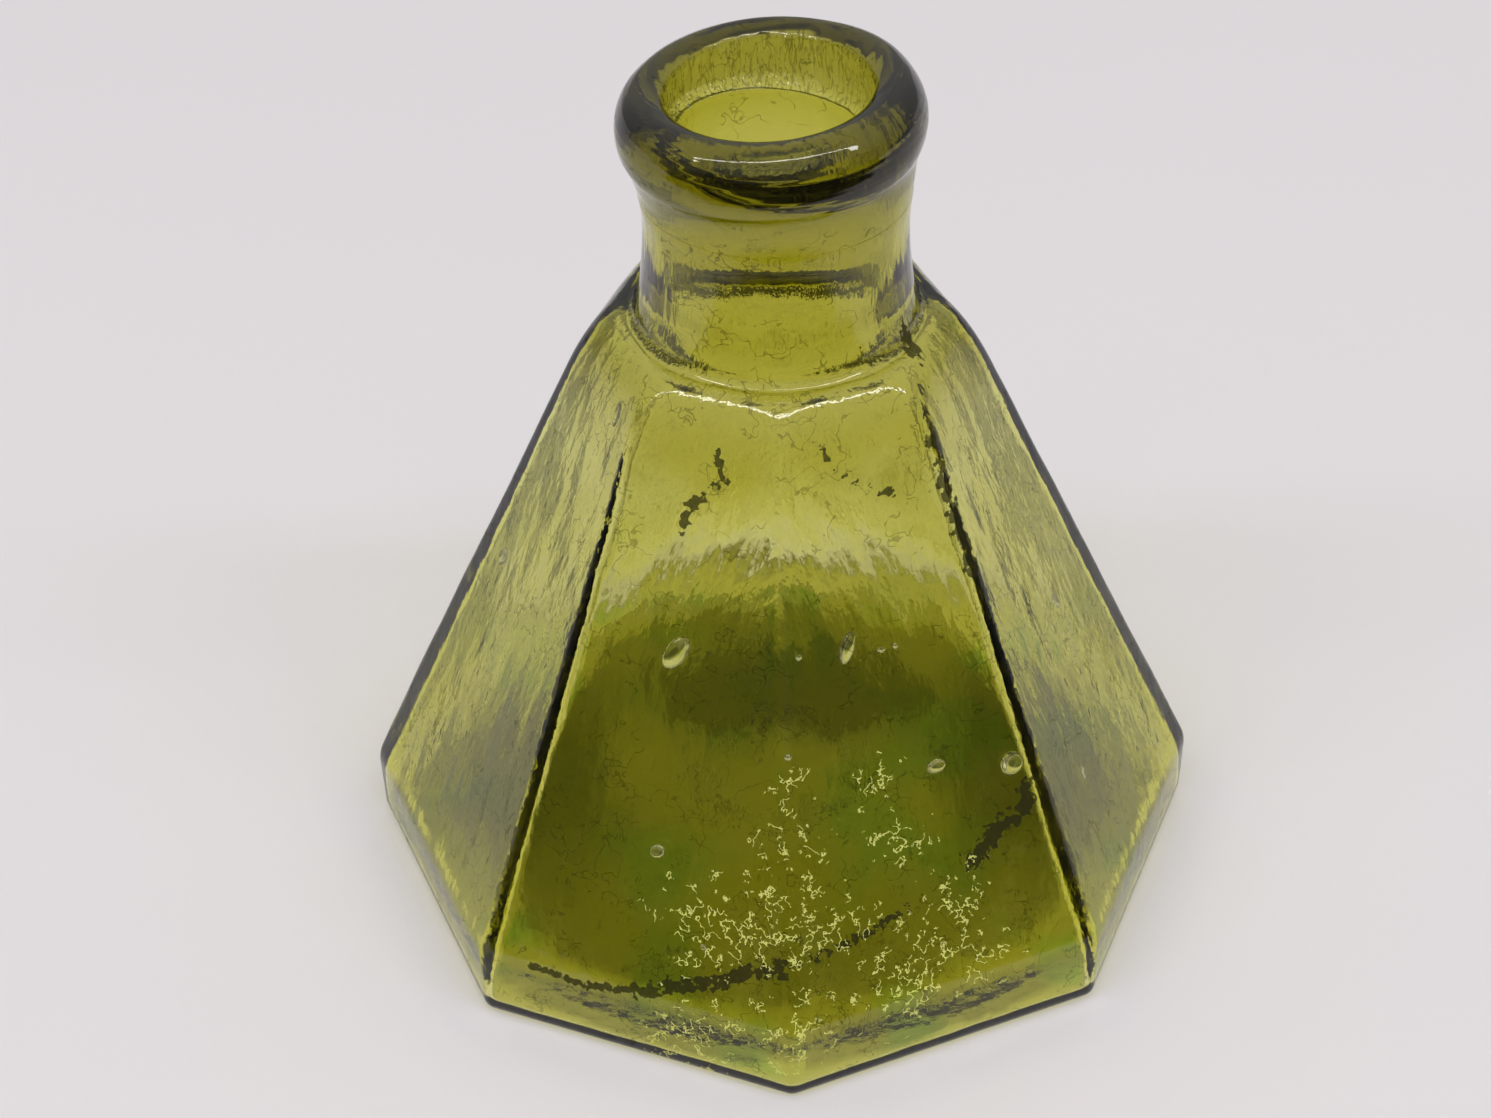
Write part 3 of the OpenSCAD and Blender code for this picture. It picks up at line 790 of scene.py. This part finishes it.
def pale_paper():
    """A pale, faintly mottled sheet that ends not far in front of the bottle, on a dark table."""
    mat = bpy.data.materials.new("pale_paper")
    tree = Tree(mat)
    place = tree.add("TexCoord", {})["Object"]
    pale = tree.mix_colours(tree.noise(place, *PAPER_NOISE), PAPER_DARKER, PAPER_LIGHTER)
    y = tree.add("SeparateXYZ", {0: place})["Y"]
    sheet = tree.add("MapRange", {"Value": y, "From Min": SHEET_END[0], "From Max": SHEET_END[1]},
                     interpolation_type="SMOOTHSTEP")[0]
    colour = tree.mix_colours(sheet, TABLE, pale)
    matt = {"Base Color": colour, "Roughness": 0.75, "Specular IOR Level": 0.2}
    tree.add("OutputMaterial", {"Surface": tree.add("BsdfPrincipled", matt)[0]})
    return mat


corners = [(x * FLOOR_HALF, y * FLOOR_HALF, -FLOOR_GAP) for x, y in ((-1, -1), (1, -1), (1, 1), (-1, 1))]
floor = mesh_object("floor", corners, [(0, 1, 2, 3)], pale_paper(), smooth=False)

# ------------------------------------------------------------------ light
SKY_TOP, SKY_LOW, SKY_LOW_FRONT = 0.80, 0.42, 0.04      # overhead, near the horizon, low behind the camera
SKY_RISE, SKY_TURN = (0.0, 0.75), (-0.7, 0.2)           # a direction's z and y between which it changes
KEY_POWER, KEY_SIZE, KEY_DISTANCE, KEY_TILT = 10.8, (2.6, 0.11), 1.2, math.radians(24)


def soft_room():
    """Light from all sides, brightest from above and nearly none from low behind the camera."""
    world = bpy.data.worlds.new("soft_room")
    tree = Tree(world)
    direction = tree.add("SeparateXYZ", {0: tree.add("TexCoord", {})["Generated"]})
    low = tree.add("MapRange", {"Value": direction["Y"], "From Min": SKY_TURN[0], "From Max": SKY_TURN[1],
                                "To Min": SKY_LOW_FRONT, "To Max": SKY_LOW})[0]
    rise = {"Value": direction["Z"], "From Min": SKY_RISE[0], "From Max": SKY_RISE[1],
            "To Min": low, "To Max": SKY_TOP}
    strength = tree.add("MapRange", rise, interpolation_type="SMOOTHSTEP")[0]
    tree.add("OutputWorld", {"Surface": tree.add("Background", {"Strength": strength})[0]})
    world.cycles.sampling_method = "NONE"      # found by bounces alone, so glass doesn't count it twice
    return world


def overhead_softbox():
    """A long narrow lamp above and a little in front, which gives the highlights."""
    lamp = bpy.data.lights.new("overhead_softbox", "AREA")
    lamp.shape = "RECTANGLE"
    lamp.size, lamp.size_y = KEY_SIZE
    lamp.energy = KEY_POWER
    key = bpy.data.objects.new("overhead_softbox", lamp)
    bpy.context.scene.collection.objects.link(key)
    aim = Vector((0, -math.sin(KEY_TILT), math.cos(KEY_TILT)))
    key.location = aim * KEY_DISTANCE
    key.rotation_mode = "QUATERNION"
    key.rotation_quaternion = aim.to_track_quat("Z", "Y")
    key.visible_transmission = False           # its light through the glass comes by straight shadow rays


bpy.context.scene.world = soft_room()
overhead_softbox()

# ------------------------------------------------------------------ camera
LENS, SENSOR = 71.725, 36.0
PITCH, ROLL, DISTANCE = math.radians(38.344), math.radians(-1.206), 0.2106
LOOK_AT = Vector((-0.00242, 0, 0.02327))
cam_data = bpy.data.cameras.new("camera")
cam_data.lens, cam_data.sensor_width, cam_data.sensor_fit = LENS, SENSOR, "HORIZONTAL"
cam_data.clip_start, cam_data.clip_end = 0.01, 10
camera = bpy.data.objects.new("camera", cam_data)
bpy.context.scene.collection.objects.link(camera)
away = Vector((0, -math.cos(PITCH), math.sin(PITCH)))
camera.matrix_world = (Matrix.Translation(LOOK_AT + away * DISTANCE)
                       @ Matrix.Rotation(math.pi / 2 - PITCH, 4, "X") @ Matrix.Rotation(ROLL, 4, "Z"))
bpy.context.scene.camera = camera

# ------------------------------------------------------------------ how light is followed
scene = bpy.context.scene
scene.view_settings.view_transform = "Standard"
scene.view_settings.look = "None"
scene.cycles.max_bounces = 24
scene.cycles.transmission_bounces = 24
scene.cycles.glossy_bounces = 12
scene.cycles.diffuse_bounces = 5
scene.cycles.transparent_max_bounces = 32
scene.cycles.caustics_refractive = True
scene.cycles.caustics_reflective = True
scene.cycles.blur_glossy = 0.0     # a blurred glass would count the lamp twice
